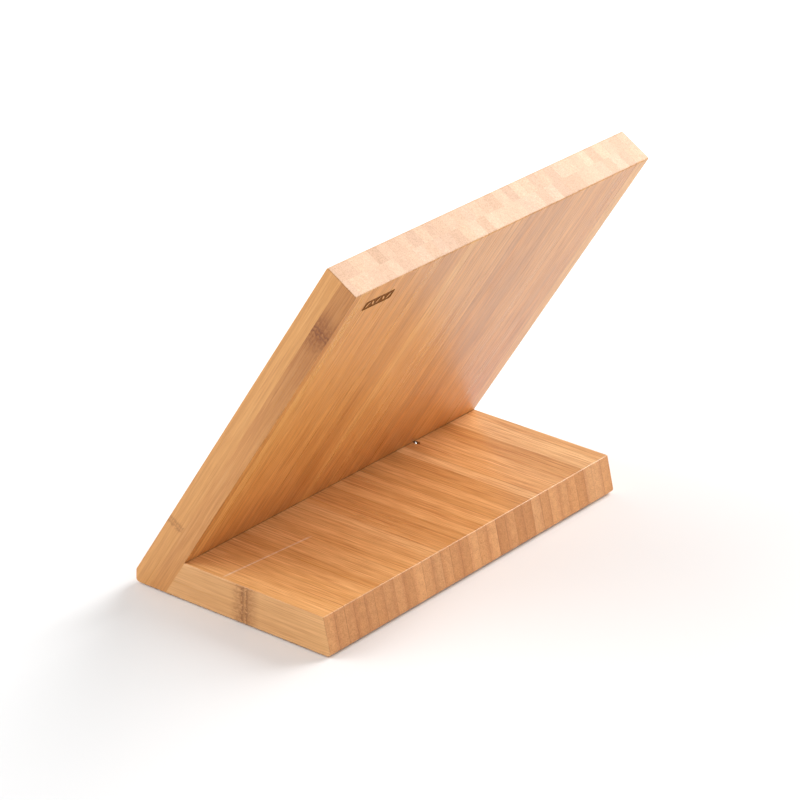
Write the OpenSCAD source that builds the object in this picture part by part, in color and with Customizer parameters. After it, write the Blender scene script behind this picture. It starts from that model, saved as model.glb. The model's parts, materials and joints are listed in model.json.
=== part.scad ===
// Magnetic knife block: a two-ply bamboo board leans on a bamboo base, and magnets sealed between
// the plies hold knives on the front face.
// X runs across the block, Y from the knife side to the back, Z up from the table. The origin is at
// the middle of the block's box, on the table. Millimetres.

/* [Panels] */
// Width of the leaning board and of the base
panel_w = 240; // [190:1:320]
// Length of the board's front face, from its uncut toe to its top end
board_l = 232; // [190:1:300]
// Thickness of the board's front ply
front_ply_t = 10; // [9:0.5:14]
// Thickness of the board's rear ply
rear_ply_t = 10; // [10:0.5:14]
// Thickness of the base
base_t = 20; // [16:0.5:26]
// Reach of the base's underside, from the board's uncut toe to its rear edge
base_reach = 127; // [105:1:170]
// How much further the base's rear edge reaches at its foot than at its top
rear_batter = 5.5; // [0:0.5:10]
// Angle between the board and the table
lean = 59.4; // [55:0.1:65]

/* [Edges] */
// Length cut off the sharp toe, along the table
toe_cut = 4; // [2.5:0.5:6]
// Radius under the toe
toe_r = 2; // [0.5:0.5:3]
// Radius along the two corners of the board's top end
top_r = 1; // [0.5:0.5:4]
// Radius along the top of the base's rear edge
base_top_r = 0.5; // [0.5:0.5:4]
// Radius along the foot of the base's rear edge
base_foot_r = 2; // [0.5:0.5:5]

/* [Magnets] */
// Length of one block magnet, across the board
magnet_l = 30; // [20:1:40]
// Width of a magnet, up the slope
magnet_w = 18; // [10:1:24]
// Thickness of a magnet
magnet_t = 6; // [3:0.5:6]
// Gap between neighbouring magnets in a row
magnet_gap = 4; // [1:0.5:8]
// Thickness of the steel keeper bar behind each row
keeper_t = 1.5; // [1:0.5:2]
// Least width of wood left outside the ends of a row
row_side_wood = 16; // [12:1:40]
// Distance up the slope from the toe to the middle of the lower row
lower_row = 62; // [58:1:80]
// Distance down from the top end to the middle of the upper row
upper_row_drop = 44; // [30:1:60]
// Radius that the router cutter leaves in a slot's corners
cutter_r = 3; // [2:0.5:4]
// Clearance along each long side of a magnet in its slot
slot_gap = 0.3; // [0.1:0.05:0.6]
// Radius on the corners of the magnets and the keeper bars
bar_corner_r = 1; // [0.5:0.25:2]

/* [Joint] */
// Spacing across the block of the screws and the dowels that stand between them
fixing_pitch = 40; // [25:1:44]
// Drop from the base's top to where the fixings enter its mitred end
fixing_drop = 6; // [5:0.5:8]
// Overall length of a screw
screw_l = 25; // [20:1:30]
// Diameter over a screw's thread
screw_d = 3.5; // [3:0.5:4]
// Diameter of a screw's core and of its plain shank
screw_core_d = 2.5; // [2:0.1:2.8]
// Length of the plain shank, head included
screw_shank_l = 8; // [6:0.5:9]
// Distance from one thread crest to the next
thread_pitch = 1.5; // [1:0.1:2]
// Diameter of a screw's countersunk head
screw_head_d = 7; // [6:0.5:8]
// Height of the straight rim around a screw's head
screw_rim_h = 0.4; // [0.2:0.1:0.8]
// Diameter of a dowel
dowel_d = 6; // [4:1:8]
// Depth of a dowel in the rear ply
dowel_in_ply = 8; // [6:0.5:8.5]
// Depth of a dowel in the base
dowel_in_base = 14; // [10:1:16]
// Bevel on both ends of a dowel
dowel_bevel = 0.8; // [0.4:0.1:1.2]
// Radial clearance of the screws, dowels and brad in their holes
hole_gap = 0.05; // [0.02:0.01:0.2]
// Space left past the tip of each fixing in the base
tip_gap = 0.8; // [0.4:0.1:1.5]

/* [Brad] */
// Place of the brad across the block
brad_x = -66; // [-68:1:-54]
// Length of the brad, head included
brad_l = 20; // [14:1:20]
// Diameter of the brad's shank
brad_d = 1.6; // [1.2:0.1:2]
// Diameter of the brad's head
brad_head_d = 2.4; // [2:0.1:2.8]
// Thickness of the brad's head
brad_head_t = 0.8; // [0.5:0.1:1.2]
// Distance from the board's rear face to the brad's head, along the base's top
brad_setback = 2; // [1.8:0.1:3]
// How far the middle of the brad's head is driven under the base's top
brad_set = 0.4; // [0:0.1:1]
// Clearance around the brad's head
brad_head_gap = 0.2; // [0.1:0.05:0.4]
// Slope at which the brad is driven
brad_angle = 45; // [40:1:50]

/* [Feet] */
// Diameter of a foot
foot_d = 12; // [8:1:16]
// Overall height of a foot
foot_h = 2; // [1.5:0.1:3]
// How far the feet stand out of the underside
foot_proud = 0.8; // [0.5:0.1:1.2]
// Radius around the underside of a foot
foot_edge_r = 0.4; // [0.2:0.1:0.5]
// Clearance around a foot in its recess
foot_gap = 0.15; // [0.05:0.05:0.3]
// Distance from the block's sides to the middle of a foot
foot_side_inset = 22; // [14:1:40]
// Distance from the rear ply's foot to the middle of the front feet
foot_front_inset = 13; // [10:1:20]
// Distance from the base's rear edge to the middle of the rear feet
foot_rear_inset = 17; // [14:1:30]

/* [Mark] */
// Width of the laser-cut mark
mark_w = 22; // [16:1:30]
// Height of the mark
mark_h = 6.5; // [5:0.5:9]
// Radius at the mark's corners
mark_r = 1.2; // [0.4:0.1:2]
// Distance from the board's side to the middle of the mark
mark_side_inset = 25.7; // [20:0.1:60]
// Distance from the board's top end down to the middle of the mark
mark_drop = 13; // [9:0.5:24]
// Depth of the mark
mark_depth = 0.3; // [0.2:0.1:0.6]
// Number of leaves left standing in the mark
mark_leaves = 5; // [3:1:6]
// Length of a leaf
leaf_l = 4; // [2.5:0.1:4.5]
// Width of a leaf
leaf_w = 1.3; // [0.8:0.1:1.8]
// Angle of the leaves, turned left and right by turns
leaf_turn = 32; // [0:1:45]

/* [Hidden] */
$fn = 64;
// Overrun of a cutting shape past the face that it opens
over = 1;

board_t = front_ply_t + rear_ply_t;
slot_depth = magnet_t + keeper_t;

// Magnets that fit between the side margins, and the length of wood that a row takes
row_count = floor((panel_w - 2 * row_side_wood - 2 * cutter_r + magnet_gap) / (magnet_l + magnet_gap));
row_l = row_count * magnet_l + (row_count - 1) * magnet_gap;
upper_row = board_l - upper_row_drop;
middle_row = (lower_row + upper_row) / 2;

// Corners of the side view as [Y, Z], measured from the uncut toe on the underside.
// up is the direction up the board's slope, and through points from its front face to its rear.
up = [cos(lean), sin(lean)];
through = [sin(lean), -cos(lean)];
toe = [toe_cut, 0];
toe_brow = [toe_cut, toe_cut * tan(lean)];
top_front = board_l * up;
top_glue = top_front + front_ply_t * through;
top_rear = top_front + board_t * through;
glue_foot = [front_ply_t / sin(lean), 0];
joint_foot = [board_t / sin(lean), 0];
joint_top = joint_foot + [base_t / tan(lean), base_t];
base_top_rear = [base_reach - rear_batter, base_t];
base_foot_rear = [base_reach, 0];

// Furthest reach backwards of the board's rounded top and of the base's rounded foot
board_back = top_rear[0] + top_r * (1 - up[0] - through[0]);
batter_slope = atan2(rear_batter, base_t);
base_back = base_foot_rear[0] + base_foot_r * (1 - (1 + sin(batter_slope)) / cos(batter_slope));
middle_y = (toe_cut + max(board_back, base_back)) / 2;

// Distance up the slope at which the fixings cross the joint, square to the board
fixing_row = (base_t - fixing_drop + board_t * cos(lean)) / sin(lean);
screw_places = [-2, 0, 2];
dowel_places = [-1, 1];
screw_cone_h = (screw_head_d - screw_core_d) / 2;
thread_turns = floor((screw_l - screw_shank_l - screw_d) / thread_pitch);

// Moves a shape from the side view's frame to the block's own.
module on_table() {
    translate([0, -middle_y, foot_proud]) children();
}

// Lays a shape on the board: X across, Y up the slope and Z out of the front face, from a point
// that is up_slope from the toe and depth under the front face.
module on_board(x, up_slope, depth) {
    on_table() rotate([lean, 0, 0]) translate([x, up_slope, -depth]) children();
}

// Centre of the circle that rounds the corner at b, between a and c, with radius r
function unit(v) = v / norm(v);
function half_angle(a, b, c) = acos(unit(a - b) * unit(c - b)) / 2;
function round_centre(a, b, c, r) = b + unit(unit(a - b) + unit(c - b)) * r / sin(half_angle(a, b, c));
function round_setback(a, b, c, r) = r / tan(half_angle(a, b, c));

// What rounding takes off the corner at b: a kite from the circle's centre past the tangent points
// and the corner, less the circle
module corner_waste(a, b, c, r) {
    centre = round_centre(a, b, c, r);
    reach = 1 + over / r;
    tip_a = b + round_setback(a, b, c, r) * unit(a - b);
    tip_c = b + round_setback(a, b, c, r) * unit(c - b);
    difference() {
        polygon([for (p = [centre, tip_a, b, tip_c]) centre + reach * (p - centre)]);
        translate(centre) circle(r);
    }
}

// A convex outline with each corner rounded to its own radius, where 0 leaves it sharp
module rounded_outline(corners, radii) {
    n = len(corners);
    difference() {
        polygon(corners);
        for (i = [0:n - 1]) {
            before = corners[(i + n - 1) % n];
            after = corners[(i + 1) % n];
            if (radii[i] > 0) corner_waste(before, corners[i], after, radii[i]);
        }
    }
}

// A panel across the whole block, from its outline in the side view
module panel(corners, radii) {
    on_table()
        rotate([90, 0, 90])
            linear_extrude(panel_w, center = true) rounded_outline(corners, radii);
}

// A rectangle about the origin with round corners
module rounded_rectangle(w, h, r) {
    square([w - 2 * r, h], center = true);
    square([w, h - 2 * r], center = true);
    for (x = [-1, 1], y = [-1, 1]) {
        translate([x * (w / 2 - r), y * (h / 2 - r)]) circle(r);
    }
}

// The router slot behind the front skin for one row of magnets and its keeper
module magnet_slot(row) {
    on_board(0, row, front_ply_t + over)
        linear_extrude(slot_depth + over)
            rounded_rectangle(row_l + 2 * cutter_r, magnet_w + 2 * slot_gap, cutter_r);
}

module magnet_row(row) {
    for (i = [0:row_count - 1]) {
        x = (i - (row_count - 1) / 2) * (magnet_l + magnet_gap);
        on_board(x, row, front_ply_t - keeper_t)
            linear_extrude(magnet_t) rounded_rectangle(magnet_l, magnet_w, bar_corner_r);
    }
}

module keeper_bar(row) {
    on_board(0, row, front_ply_t)
        linear_extrude(keeper_t) rounded_rectangle(row_l, magnet_w, bar_corner_r);
}

// A countersunk wood screw with its head's top at the origin, pointing down
module screw() {
    core = screw_core_d / 2;
    thread_end = screw_shank_l + thread_turns * thread_pitch;
    difference() {
        rotate_extrude()
            polygon([
                [0, 0], [screw_head_d / 2, 0], [screw_head_d / 2, -screw_rim_h],
                [core, -screw_rim_h - screw_cone_h],
                for (i = [0:thread_turns - 1])
                    let (z = screw_shank_l + i * thread_pitch)
                    each [[core, -z], [screw_d / 2, -z - thread_pitch / 2]],
                [core, -thread_end], [0, -screw_l]
            ]);
        for (turn = [0, 90]) {
            rotate([0, 0, turn])
                cube([screw_head_d * 0.55, screw_head_d * 0.13, screw_head_d * 0.45], center = true);
        }
    }
}

// The hole for one screw: a countersink and a clearance hole in the ply, a pilot hole in the base
module screw_hole() {
    drill_r = screw_d / 2 + hole_gap;
    translate([0, 0, -screw_rim_h]) cylinder(r = screw_head_d / 2 + hole_gap, h = screw_rim_h + over);
    translate([0, 0, -screw_rim_h - screw_cone_h])
        cylinder(r1 = screw_core_d / 2, r2 = screw_head_d / 2, h = screw_cone_h);
    translate([0, 0, -screw_l - tip_gap]) cylinder(r = drill_r, h = screw_l + tip_gap);
}

// A dowel across the joint, with the joint's plane at the origin and the base below it
module dowel() {
    r = dowel_d / 2;
    rotate_extrude()
        polygon([
            [0, -dowel_in_base], [r - dowel_bevel, -dowel_in_base], [r, dowel_bevel - dowel_in_base],
            [r, dowel_in_ply - dowel_bevel], [r - dowel_bevel, dowel_in_ply], [0, dowel_in_ply]
        ]);
}

module dowel_hole() {
    translate([0, 0, -dowel_in_base - tip_gap])
        cylinder(r = dowel_d / 2 + hole_gap, h = dowel_in_base + tip_gap + dowel_in_ply);
}

module screws_at() {
    for (i = screw_places) on_board(i * fixing_pitch, fixing_row, front_ply_t) children();
}

module dowels_at() {
    for (i = dowel_places) on_board(i * fixing_pitch, fixing_row, board_t) children();
}

// Puts a shape at the middle of the brad's head, with -Z along the way it is driven
module brad_at() {
    on_table()
        translate([brad_x, joint_top[0] + brad_setback, base_t])
            rotate([brad_angle - 90, 0, 0]) translate([0, 0, -brad_set / sin(brad_angle)]) children();
}

module brad_shape(shank_r, head_r, head_up) {
    translate([0, 0, -brad_head_t]) cylinder(r = head_r, h = brad_head_t + head_up);
    translate([0, 0, -brad_l]) cylinder(r = shank_r, h = brad_l);
}

module brad_hole() {
    brad_at() brad_shape(brad_d / 2 + hole_gap, brad_head_d / 2 + brad_head_gap, foot_h + over);
}

// Middle of a foot, from the side view's frame: side is -1 or 1, and rear is true at the back
function foot_place(side, rear) = [
    side * (panel_w / 2 - foot_side_inset),
    rear ? base_reach - foot_rear_inset : joint_foot[0] + foot_front_inset,
    -foot_proud
];

module foot_recess(side, rear) {
    on_table()
        translate(foot_place(side, rear))
            translate([0, 0, -over]) cylinder(r = foot_d / 2 + foot_gap, h = foot_h + over);
}

module foot(side, rear) {
    r = foot_d / 2;
    color("gainsboro")
        on_table()
            translate(foot_place(side, rear)) rotate_extrude() {
                square([r - foot_edge_r, foot_h]);
                translate([0, foot_edge_r]) square([r, foot_h - foot_edge_r]);
                intersection() {
                    translate([r - foot_edge_r, foot_edge_r]) circle(foot_edge_r);
                    square([r, foot_edge_r]);
                }
            }
}

// One leaf: the lens that two circles share
module leaf() {
    bow = (leaf_l * leaf_l / leaf_w + leaf_w) / 4;
    intersection() {
        translate([bow - leaf_w / 2, 0]) circle(bow);
        translate([leaf_w / 2 - bow, 0]) circle(bow);
    }
}

// The laser-cut mark: a sunk plate with a sprig of plain leaves left standing
module mark_cut() {
    leaf_step = mark_w / (mark_leaves + 0.6);
    on_board(panel_w / 2 - mark_side_inset, board_l - mark_drop, board_t + over)
        linear_extrude(mark_depth + over)
            difference() {
                rounded_rectangle(mark_w, mark_h, mark_r);
                for (i = [0:mark_leaves - 1]) {
                    translate([(i - (mark_leaves - 1) / 2) * leaf_step, 0])
                        rotate([0, 0, i % 2 == 0 ? leaf_turn : -leaf_turn]) leaf();
                }
            }
}

module front_ply() {
    color("burlywood")
        difference() {
            panel([toe, toe_brow, top_front, top_glue, glue_foot], [toe_r, 0, top_r, 0, 0]);
            for (row = [lower_row, middle_row, upper_row]) magnet_slot(row);
        }
}

module rear_ply() {
    color("burlywood")
        difference() {
            panel([glue_foot, top_glue, top_rear, joint_foot], [0, 0, top_r, 0]);
            screws_at() screw_hole();
            dowels_at() dowel_hole();
            brad_hole();
            mark_cut();
        }
}

module base_board() {
    color("sandybrown")
        difference() {
            panel([joint_foot, joint_top, base_top_rear, base_foot_rear], [0, 0, base_top_r, base_foot_r]);
            screws_at() screw_hole();
            dowels_at() dowel_hole();
            brad_hole();
            for (side = [-1, 1], rear = [false, true]) foot_recess(side, rear);
        }
}

module magnets_lower() { color("silver") magnet_row(lower_row); }
module magnets_middle() { color("silver") magnet_row(middle_row); }
module magnets_upper() { color("silver") magnet_row(upper_row); }
module keeper_lower() { color("slategray") keeper_bar(lower_row); }
module keeper_middle() { color("slategray") keeper_bar(middle_row); }
module keeper_upper() { color("slategray") keeper_bar(upper_row); }
module joint_screws() { color("goldenrod") screws_at() screw(); }
module joint_dowels() { color("wheat") dowels_at() dowel(); }
module brad() { color("lightgray") brad_at() brad_shape(brad_d / 2, brad_head_d / 2, 0); }
module foot_front_left() { foot(-1, false); }
module foot_front_right() { foot(1, false); }
module foot_rear_left() { foot(-1, true); }
module foot_rear_right() { foot(1, true); }

front_ply();
rear_ply();
base_board();
magnets_lower();
magnets_middle();
magnets_upper();
keeper_lower();
keeper_middle();
keeper_upper();
joint_screws();
joint_dowels();
brad();
foot_front_left();
foot_front_right();
foot_rear_left();
foot_rear_right();
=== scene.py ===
"""A magnetic knife block of side-pressed bamboo: a two-ply board leaning on a base.

X runs across the block, Y from the knife side to the back, Z up from the table, all in metres.
"""

import json
import math
from functools import partial

import bmesh
import bpy
import numpy as np
from mathutils import Matrix, Vector


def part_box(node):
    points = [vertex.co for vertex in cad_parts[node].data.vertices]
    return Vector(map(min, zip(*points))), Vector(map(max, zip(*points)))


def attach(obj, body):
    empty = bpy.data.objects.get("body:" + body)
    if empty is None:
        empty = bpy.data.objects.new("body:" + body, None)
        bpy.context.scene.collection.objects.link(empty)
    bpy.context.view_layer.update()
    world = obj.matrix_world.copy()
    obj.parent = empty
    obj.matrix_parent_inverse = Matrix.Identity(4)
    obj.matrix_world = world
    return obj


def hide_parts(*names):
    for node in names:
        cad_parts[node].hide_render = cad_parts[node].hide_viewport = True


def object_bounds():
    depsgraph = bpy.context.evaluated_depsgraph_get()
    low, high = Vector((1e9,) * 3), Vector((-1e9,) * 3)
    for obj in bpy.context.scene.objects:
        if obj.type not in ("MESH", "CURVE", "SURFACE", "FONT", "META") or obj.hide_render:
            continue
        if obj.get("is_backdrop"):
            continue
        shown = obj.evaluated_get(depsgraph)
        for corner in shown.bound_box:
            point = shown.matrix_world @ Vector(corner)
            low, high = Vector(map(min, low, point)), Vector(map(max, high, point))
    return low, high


MM = 0.001

# Geometry of the pressed panels
BOARD_STRIP = 7.1 * MM  # width of the strips that the board's plies are pressed from
BASE_STRIP = 7.75 * MM  # width of the strips that the base is pressed from
STRIP_JITTER = 0.45 * MM  # how far a glue line may stand from its even place
SIDE_ROUND = 0.45 * MM  # the sides' sanded edges, finer than the smallest corner of a side view
SIDE_STEPS = 6
SANDED_OFF = 0.01 * MM  # all round, so that the glued panels keep inside the CAD model
CORNER_STEPS = 8
GLUE_LINE_DEPTH = 0.05 * MM
GLUE_LINE_WIDTH = 0.26 * MM
RUN_OUT = 2.5 * MM  # length over which a sanded edge fades out at the joint
BRAD_HEAD_GAP = 0.35 * MM
BRAD_HOLE_DEPTH = 6 * MM
BRAD_SHANK, BRAD_DOME = 0.66, 0.45  # the shank's radius and the dome's height, in head radii
ROUND_CUT_SIDES, TURNED_SIDES = 48, 32
MOUTH = 1 * MM  # how far a cutting shape stands out of the mouth of its hollow
MARK_ZONE = 30 * MM  # the laser mark lies this close to the top end
MARK_LIFT = 1.5 * MM  # how far the mark's cutting shape rises from the mark's floor
DOME_STEPS = 8
CULM_SPACING = 270 * MM  # between the joints of a bamboo stem
RUB_SPAN, RUB_SETBACK, RUB_SLANT = (54 * MM, 117 * MM), 23.5 * MM, 0.079  # the scuff on the base

# Tones that a strip may have, by its luck
BOARD_TONES = ((0.0, "#cb8740"), (0.2, "#d9934a"), (0.5, "#e19e53"), (0.8, "#dd984e"), (1.0, "#e9ab5f"))
BASE_TONES = ((0.0, "#d89c5c"), (0.2, "#e3a869"), (0.5, "#eeb678"), (0.8, "#e8ad6e"), (1.0, "#f6c489"))

FOOT_EDGE, FOOT_RIBS, FOOT_RIB_DEPTH = 0.4 * MM, 4, 0.25 * MM

NEAR = 0.05 * MM  # places closer than this to a plane lie on it
WELD = 0.001 * MM  # points closer than this are one point
CREASE = math.radians(17)  # an edge that turns more than this stays crisp

# Camera: where it aims, from where, and how long its lens is
AIM_FROM_TOE = Vector((0, 90, 80)) * MM
CAMERA_AZIMUTH, CAMERA_ELEVATION, CAMERA_ROLL = 126.37, 24.54, 2.09
CAMERA_DISTANCE = 1.890
CAMERA_LENS = 171.0
CAMERA_SIDESTEP = Vector((12.9, -3.0)) * MM

# Studio: the floor's half width, the surround's strength, and the soft lights' distance and size
FLOOR_REACH = 6.0
SURROUND = 0.42
LIGHT_DISTANCE, LIGHT_SIZE = 2.6, 1.95

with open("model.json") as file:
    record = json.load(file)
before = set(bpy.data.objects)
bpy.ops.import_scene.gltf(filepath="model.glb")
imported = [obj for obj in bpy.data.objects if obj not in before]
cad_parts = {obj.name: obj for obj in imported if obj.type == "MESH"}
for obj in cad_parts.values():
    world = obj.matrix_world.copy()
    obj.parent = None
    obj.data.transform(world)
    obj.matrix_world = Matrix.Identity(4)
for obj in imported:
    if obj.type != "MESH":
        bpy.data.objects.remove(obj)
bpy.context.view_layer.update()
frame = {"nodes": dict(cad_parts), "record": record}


# ---------------------------------------------------------------- small helpers


def linear(code, alpha=1.0):
    """A colour given as an sRGB hex code, as the linear RGBA that Blender's sockets take."""
    parts = [int(code[i : i + 2], 16) / 255 for i in (1, 3, 5)]
    parts = [c / 12.92 if c <= 0.04045 else ((c + 0.055) / 1.055) ** 2.4 for c in parts]
    return (*parts, alpha)


# Short names for node kinds with their usual settings. A name in capitals is a Math node's operation.
KINDS = {
    "fade": ("ShaderNodeMapRange", {"interpolation_type": "SMOOTHSTEP"}),
    "mix": ("ShaderNodeMix", {}),
    "mix colour": ("ShaderNodeMix", {"data_type": "RGBA"}),
    "noise": ("ShaderNodeTexNoise", {"noise_dimensions": "4D"}),
    "vector": ("ShaderNodeVectorMath", {}),
    "split": ("ShaderNodeSeparateXYZ", {}),
    "join": ("ShaderNodeCombineXYZ", {}),
    "stored": ("ShaderNodeAttribute", {}),
}


def add_node(tree, kind, inputs=(), **settings):
    """Adds a node with its settings. inputs gives a value, or the node or output that feeds it, to each
    socket: in order, or by name or number."""
    usual = {"operation": kind} if kind.isupper() else {}
    kind, usual = KINDS.get(kind, ("ShaderNodeMath" if usual else kind, usual))
    node = tree.nodes.new(kind)
    for key, value in {**usual, **settings}.items():
        setattr(node, key, value)
    for key, value in inputs.items() if isinstance(inputs, dict) else enumerate(inputs):
        if isinstance(value, bpy.types.Node):
            value = value.outputs[0]
        if isinstance(value, bpy.types.NodeSocket):
            tree.links.new(value, node.inputs[key])
        else:
            node.inputs[key].default_value = value
    return node


def set_ramp(node, stops):
    """Gives a colour ramp its stops: pairs of place and hex colour, or of place and grey value."""
    ramp = node.color_ramp
    while len(ramp.elements) < len(stops):
        ramp.elements.new(0.5)
    for element, (place, value) in zip(ramp.elements, stops):
        element.position = place
        element.color = linear(value) if isinstance(value, str) else (value, value, value, 1)
    return node


def new_object(name, mesh, *materials):
    piece = bpy.data.objects.new(name, mesh)
    bpy.context.scene.collection.objects.link(piece)
    for material in materials:
        mesh.materials.append(material)
    return piece


def evaluated_mesh(piece):
    """The piece's mesh with its modifiers applied."""
    graph = bpy.context.evaluated_depsgraph_get()
    return bpy.data.meshes.new_from_object(piece.evaluated_get(graph), depsgraph=graph)


# ---------------------------------------------------------------- the frame's own lines

knife_axis = next(m for m in frame["record"]["mounts"] if m["name"] == "knife_face")["axis"]
UP = Vector((0, knife_axis[2], -knife_axis[1]))  # up the board's slope
THROUGH = Vector((0, -knife_axis[1], -knife_axis[2]))  # from the board's front face to its rear
LEAN = math.atan2(UP.z, UP.y)


def cad_vertices(node):
    mesh = frame["nodes"][node].data
    points = np.zeros(len(mesh.vertices) * 3)
    mesh.vertices.foreach_get("co", points)
    return points.reshape(-1, 3)


front_points, rear_points = cad_vertices("front_ply"), cad_vertices("rear_ply")
GLUE_DEPTH = (front_points @ THROUGH).max()
REAR_DEPTH = (rear_points @ THROUGH).max()
TOP_END = (rear_points @ UP).max()
BASE_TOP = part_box("base_board")[1].z
HALF_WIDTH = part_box("base_board")[1].x
# Where the base's top meets the board: along Y, and up the slope
SEAM_ON_BASE = (REAR_DEPTH - THROUGH.z * BASE_TOP) / THROUGH.y
SEAM_ON_BOARD = Vector((0, SEAM_ON_BASE, BASE_TOP)).dot(UP)
toe_y = (front_points @ THROUGH).min() / THROUGH.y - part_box("base_board")[0].z * THROUGH.z / THROUGH.y
TOE_POINT = Vector((0, toe_y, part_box("base_board")[0].z))  # the uncut toe of the board's front face
TOE = TOE_POINT.dot(UP)


def side_edges(node):
    """The edges of a panel's side view in order, as pairs of (Y, Z) points, from its CAD side face."""
    points = cad_vertices(node)
    rim = np.unique(np.round(points[points[:, 0] > HALF_WIDTH - 1e-6][:, 1:], 6), axis=0)
    middle = rim.mean(0)
    rim = rim[np.argsort(np.arctan2(*(rim - middle).T[::-1]))]
    return [(Vector(a), Vector(b)) for a, b in zip(rim, np.roll(rim, -1, axis=0))]


def side_outline(node):
    """The corners and corner radii of a panel's side view, as (Y, Z) pairs."""
    ends = side_edges(node)
    straight = [e for e in ends if (e[1] - e[0]).length > 2.5 * MM]
    corners = []
    for (a, b), (c, d) in zip(straight, straight[1:] + straight[:1]):
        before, after = (b - a).normalized(), (d - c).normalized()
        turn = before.angle(after)
        setback = (c - b).length / (2 * math.cos(turn / 2))
        corners.append((b + before * setback, setback / math.tan(turn / 2)))
    return corners


def depth_of(point):
    return THROUGH.y * point.x + THROUGH.z * point.y


def is_covered(a, b):
    """Whether the edge from a to b lies against another panel."""
    in_glue = all(abs(depth_of(p) - GLUE_DEPTH) < NEAR for p in (a, b))
    in_joint = all(abs(depth_of(p) - REAR_DEPTH) < NEAR and p.y < BASE_TOP + NEAR for p in (a, b))
    return in_glue or in_joint


def split_at_joint(corners):
    """Adds the points of the rear ply's side view where the base's top meets it."""
    split = []
    for (a, radius), (b, _) in zip(corners, corners[1:] + corners[:1]):
        split.append((a, radius))
        on_rear = all(abs(depth_of(p) - REAR_DEPTH) < NEAR for p in (a, b))
        if on_rear and (a.y - BASE_TOP) * (b.y - BASE_TOP) < 0:
            heights = sorted((BASE_TOP, BASE_TOP + RUN_OUT * UP.z), reverse=a.y > b.y)
            split += [(a.lerp(b, (z - a.y) / (b.y - a.y)), 0) for z in heights]
    return split


def outline_ring(corners):
    """The side view as a closed ring of points, with the way each point moves when the rim is sanded
    in by one unit, and how much of a rounded corner it is on."""
    ring = []
    for i, (corner, radius) in enumerate(corners):
        before, after = corners[i - 1][0], corners[(i + 1) % len(corners)][0]
        to_before, to_after = (before - corner).normalized(), (after - corner).normalized()
        if radius < 0.2 * MM:
            ring.append((corner, 0))
            continue
        half = to_before.angle(to_after) / 2
        centre = corner + (to_before + to_after).normalized() * radius / math.sin(half)
        start = corner + to_before * radius / math.tan(half) - centre
        sweep = start.angle_signed(corner + to_after * radius / math.tan(half) - centre)
        for step in range(CORNER_STEPS + 1):
            part = step / CORNER_STEPS
            spoke = Matrix.Rotation(-sweep * part, 2) @ start
            ring.append((centre + spoke, math.sin(math.pi * part)))
    return ring


def inset_ways(ring):
    """For each point of the ring, its move for an inset of one unit. Covered edges stay in place."""
    places = [p for p, _ in ring]
    area = sum(a.x * b.y - b.x * a.y for a, b in zip(places, places[1:] + places[:1]))
    ways = []
    for i, b in enumerate(places):
        a, c = places[i - 1], places[(i + 1) % len(places)]
        rows, moves = [], []
        for p, q in ((a, b), (b, c)):
            along = (q - p).normalized()
            rows.append([along.y, -along.x] if area > 0 else [-along.y, along.x])
            moves.append(0.0 if is_covered(p, q) else -1.0)
        if abs(np.linalg.det(rows)) > 0.05:
            ways.append(np.linalg.solve(rows, moves))
        else:
            ways.append(min(moves, key=abs) * np.mean(rows, axis=0))
    return ways


# ---------------------------------------------------------------- pressed panels


def new_tree(name, result, inputs):
    """A geometry node tree with its inputs, given as name, kind and usual value. Returns it with the
    outputs of its input node."""
    tree = bpy.data.node_groups.new(name, "GeometryNodeTree")
    for label, kind, value in inputs:
        socket = tree.interface.new_socket(label, in_out="INPUT", socket_type="NodeSocket" + kind)
        if value is not None:
            socket.default_value = value
    tree.interface.new_socket(result, in_out="OUTPUT", socket_type="NodeSocketGeometry")
    return tree, add_node(tree, "NodeGroupInput").outputs


def run_tree(name, mesh, tree, values):
    """An object made of what the tree gives for these input values, as a plain mesh."""
    piece = new_object(name, mesh)
    maker = piece.modifiers.new("Make", "NODES")
    maker.node_group = tree
    for socket in tree.interface.items_tree:
        if socket.name in values:
            maker[socket.identifier] = values[socket.name]
    made = evaluated_mesh(piece)
    piece.modifiers.clear()
    piece.data = made
    shell = bmesh.new()
    shell.from_mesh(made)
    bmesh.ops.recalc_face_normals(shell, faces=shell.faces)
    shell.to_mesh(made)
    shell.free()
    return piece


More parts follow.
